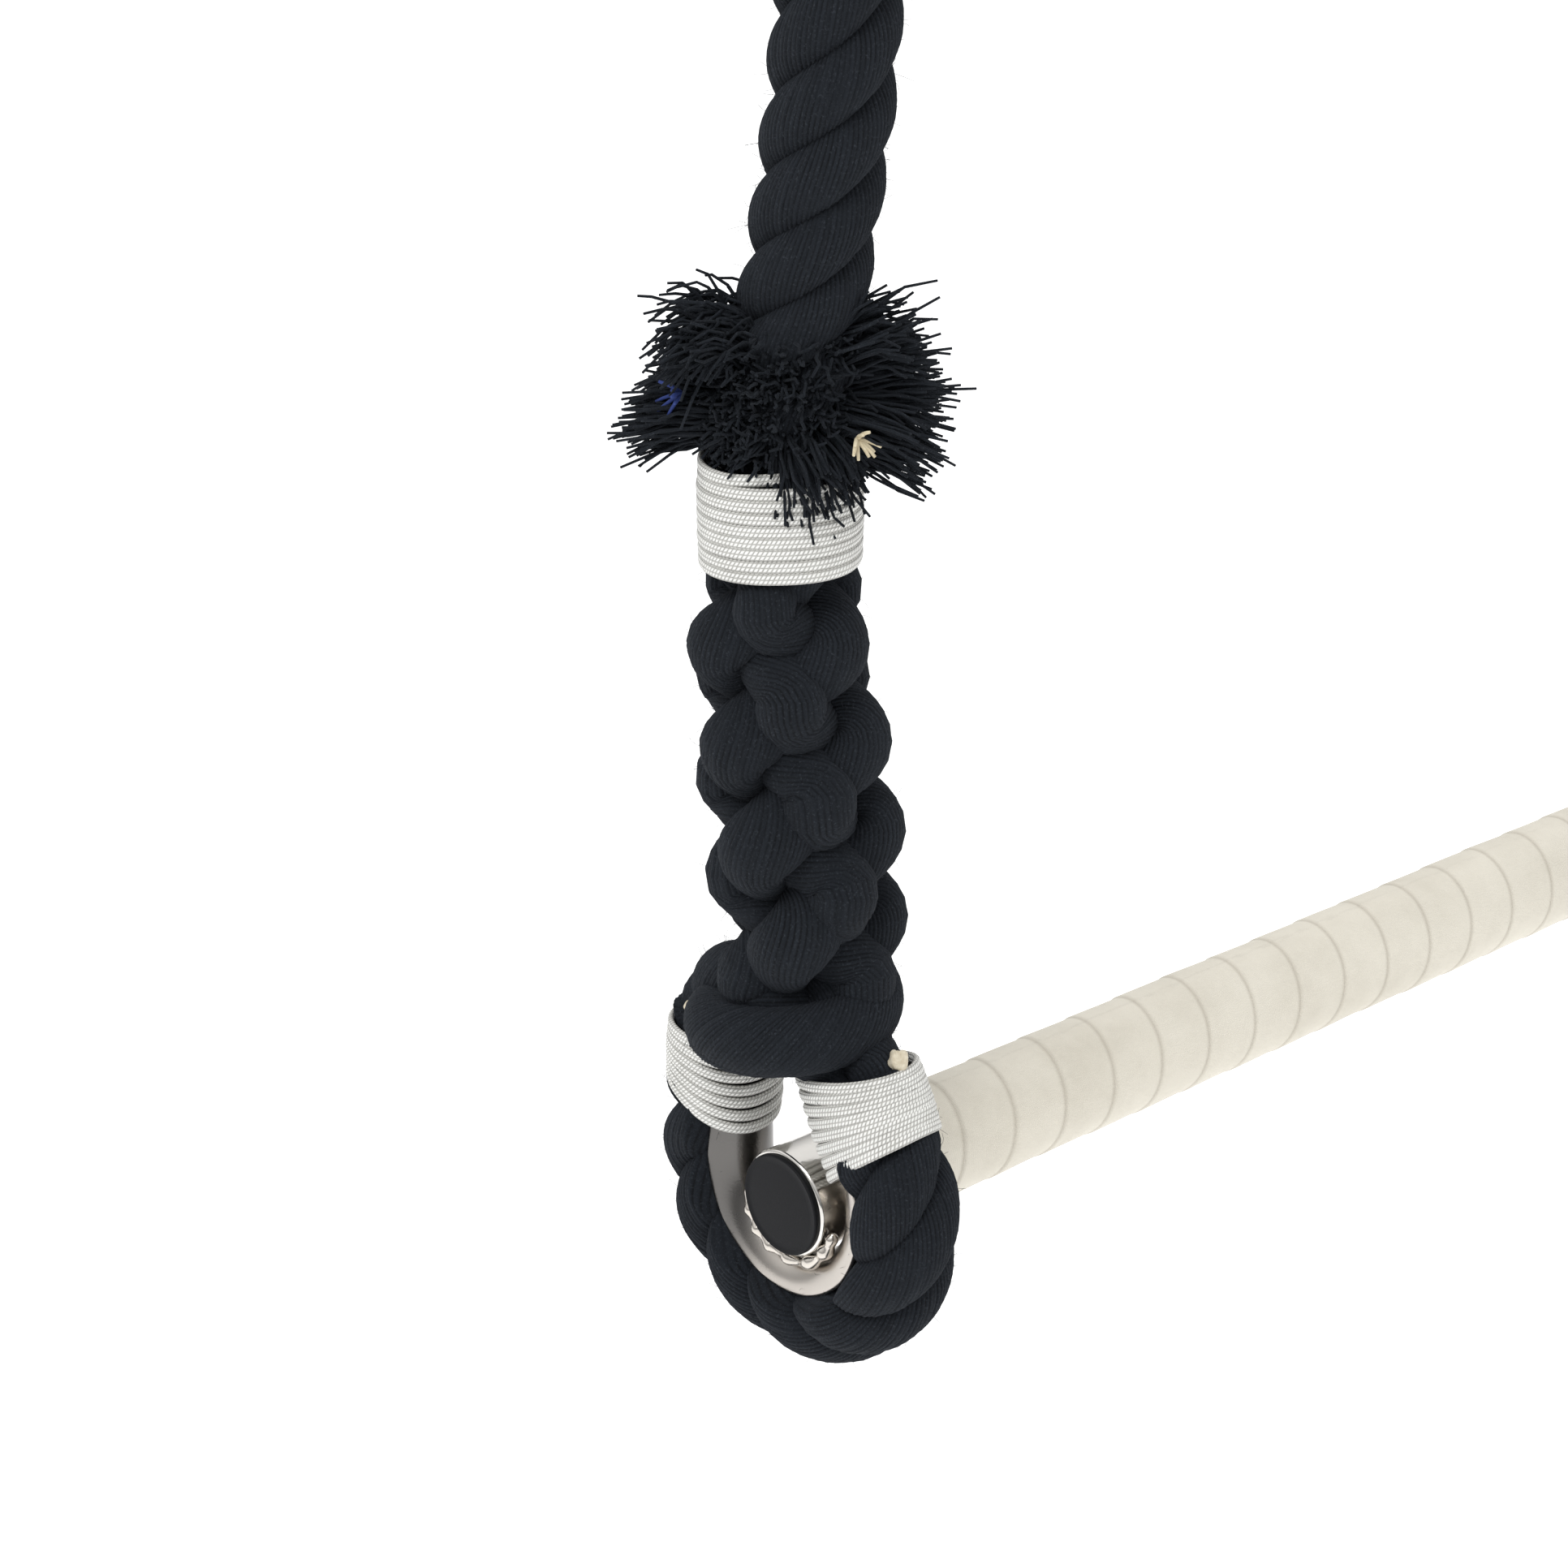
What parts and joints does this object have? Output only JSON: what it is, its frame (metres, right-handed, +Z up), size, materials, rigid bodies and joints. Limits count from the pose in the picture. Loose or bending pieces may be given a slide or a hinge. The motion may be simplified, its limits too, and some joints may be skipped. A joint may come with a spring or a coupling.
{
  "type": "trapeze",
  "caption": "Circus trapeze: taped steel bar hung at both ends from black cotton ropes with thimble eye splices, white whippings and shackles.",
  "frame": {"origin": "on the left shackle's bolt axis, midway between its ears, above the left rope", "axes": "+X along the bar from the left rope to the right one, +Y towards the rear leg of the eyes, +Z up"},
  "size_m": [0.7132, 0.0988, 0.7678],
  "materials": {
    "polished_steel": "polished drawn steel tube",
    "satin_stainless": "satin stainless tube, heat-tinted near the weld",
    "weld_metal": "bright lumpy weld",
    "galvanised_steel": "hot-dip galvanised forging",
    "bright_pin_steel": "bright drawn wire",
    "black_plastic": "matt moulded plastic",
    "cotton_tape": "off-white woven cotton tape, half lapped",
    "black_cotton_rope": "soft spun cotton, three strands",
    "cotton_yarn": "frayed cotton yarn",
    "white_braid": "white braided cord, wound tight"
  },
  "bodies": {
    "pins": {"left_shackle_bolt": "galvanised_steel", "left_shackle_nut": "galvanised_steel", "left_shackle_cotter": "bright_pin_steel", "right_shackle_bolt": "galvanised_steel", "right_shackle_nut": "galvanised_steel", "right_shackle_cotter": "bright_pin_steel"},
    "bows": {"left_shackle_bow": "galvanised_steel", "right_shackle_bow": "galvanised_steel"},
    "left_rope": {"left_top_thimble": "satin_stainless", "left_top_eye_rope": "black_cotton_rope", "left_top_front_leg_whipping": "white_braid", "left_top_rear_leg_whipping": "white_braid", "left_top_splice": "black_cotton_rope", "left_top_splice_whipping": "white_braid", "left_top_tassel": "cotton_yarn", "left_rope": "black_cotton_rope", "left_splice": "black_cotton_rope", "left_splice_whipping": "white_braid", "left_tassel": "cotton_yarn"},
    "bar": {"bar_tube": "polished_steel", "grip_tape": "cotton_tape", "left_bar_thimble": "satin_stainless", "left_eye_rope": "black_cotton_rope", "left_front_leg_whipping": "white_braid", "left_rear_leg_whipping": "white_braid", "left_weld_bead": "weld_metal", "left_end_plug": "black_plastic", "right_bar_thimble": "satin_stainless", "right_eye_rope": "black_cotton_rope", "right_front_leg_whipping": "white_braid", "right_rear_leg_whipping": "white_braid", "right_weld_bead": "weld_metal", "right_end_plug": "black_plastic"},
    "right_rope": {"right_top_thimble": "satin_stainless", "right_top_eye_rope": "black_cotton_rope", "right_top_front_leg_whipping": "white_braid", "right_top_rear_leg_whipping": "white_braid", "right_top_splice": "black_cotton_rope", "right_top_splice_whipping": "white_braid", "right_top_tassel": "cotton_yarn", "right_rope": "black_cotton_rope", "right_splice": "black_cotton_rope", "right_splice_whipping": "white_braid", "right_tassel": "cotton_yarn"}
  },
  "joints": [
    {"name": "swing", "type": "hinge", "parent": "pins", "child": "bows", "pos_m": [0, 0, 0], "axis": [1, 0, 0], "range_deg": [-60, 60]},
    {"name": "sway", "type": "hinge", "parent": "bows", "child": "left_rope", "pos_m": [0, 0, -0.057], "axis": [0, 1, 0], "range_deg": [-10, 10]},
    {"name": "left_throat_bend", "type": "hinge", "parent": "left_rope", "child": "bar", "pos_m": [0, 0, -0.65], "axis": [0, 1, 0], "range_deg": [-10, 10]},
    {"name": "right_throat_bend", "type": "hinge", "parent": "bar", "child": "right_rope", "pos_m": [0.6, 0, -0.65], "axis": [0, 1, 0], "range_deg": [-10, 10]}
  ],
  "couplings": [
    {"joint": "left_throat_bend", "follows": "sway", "ratio": -1},
    {"joint": "right_throat_bend", "follows": "sway", "ratio": 1}
  ]
}
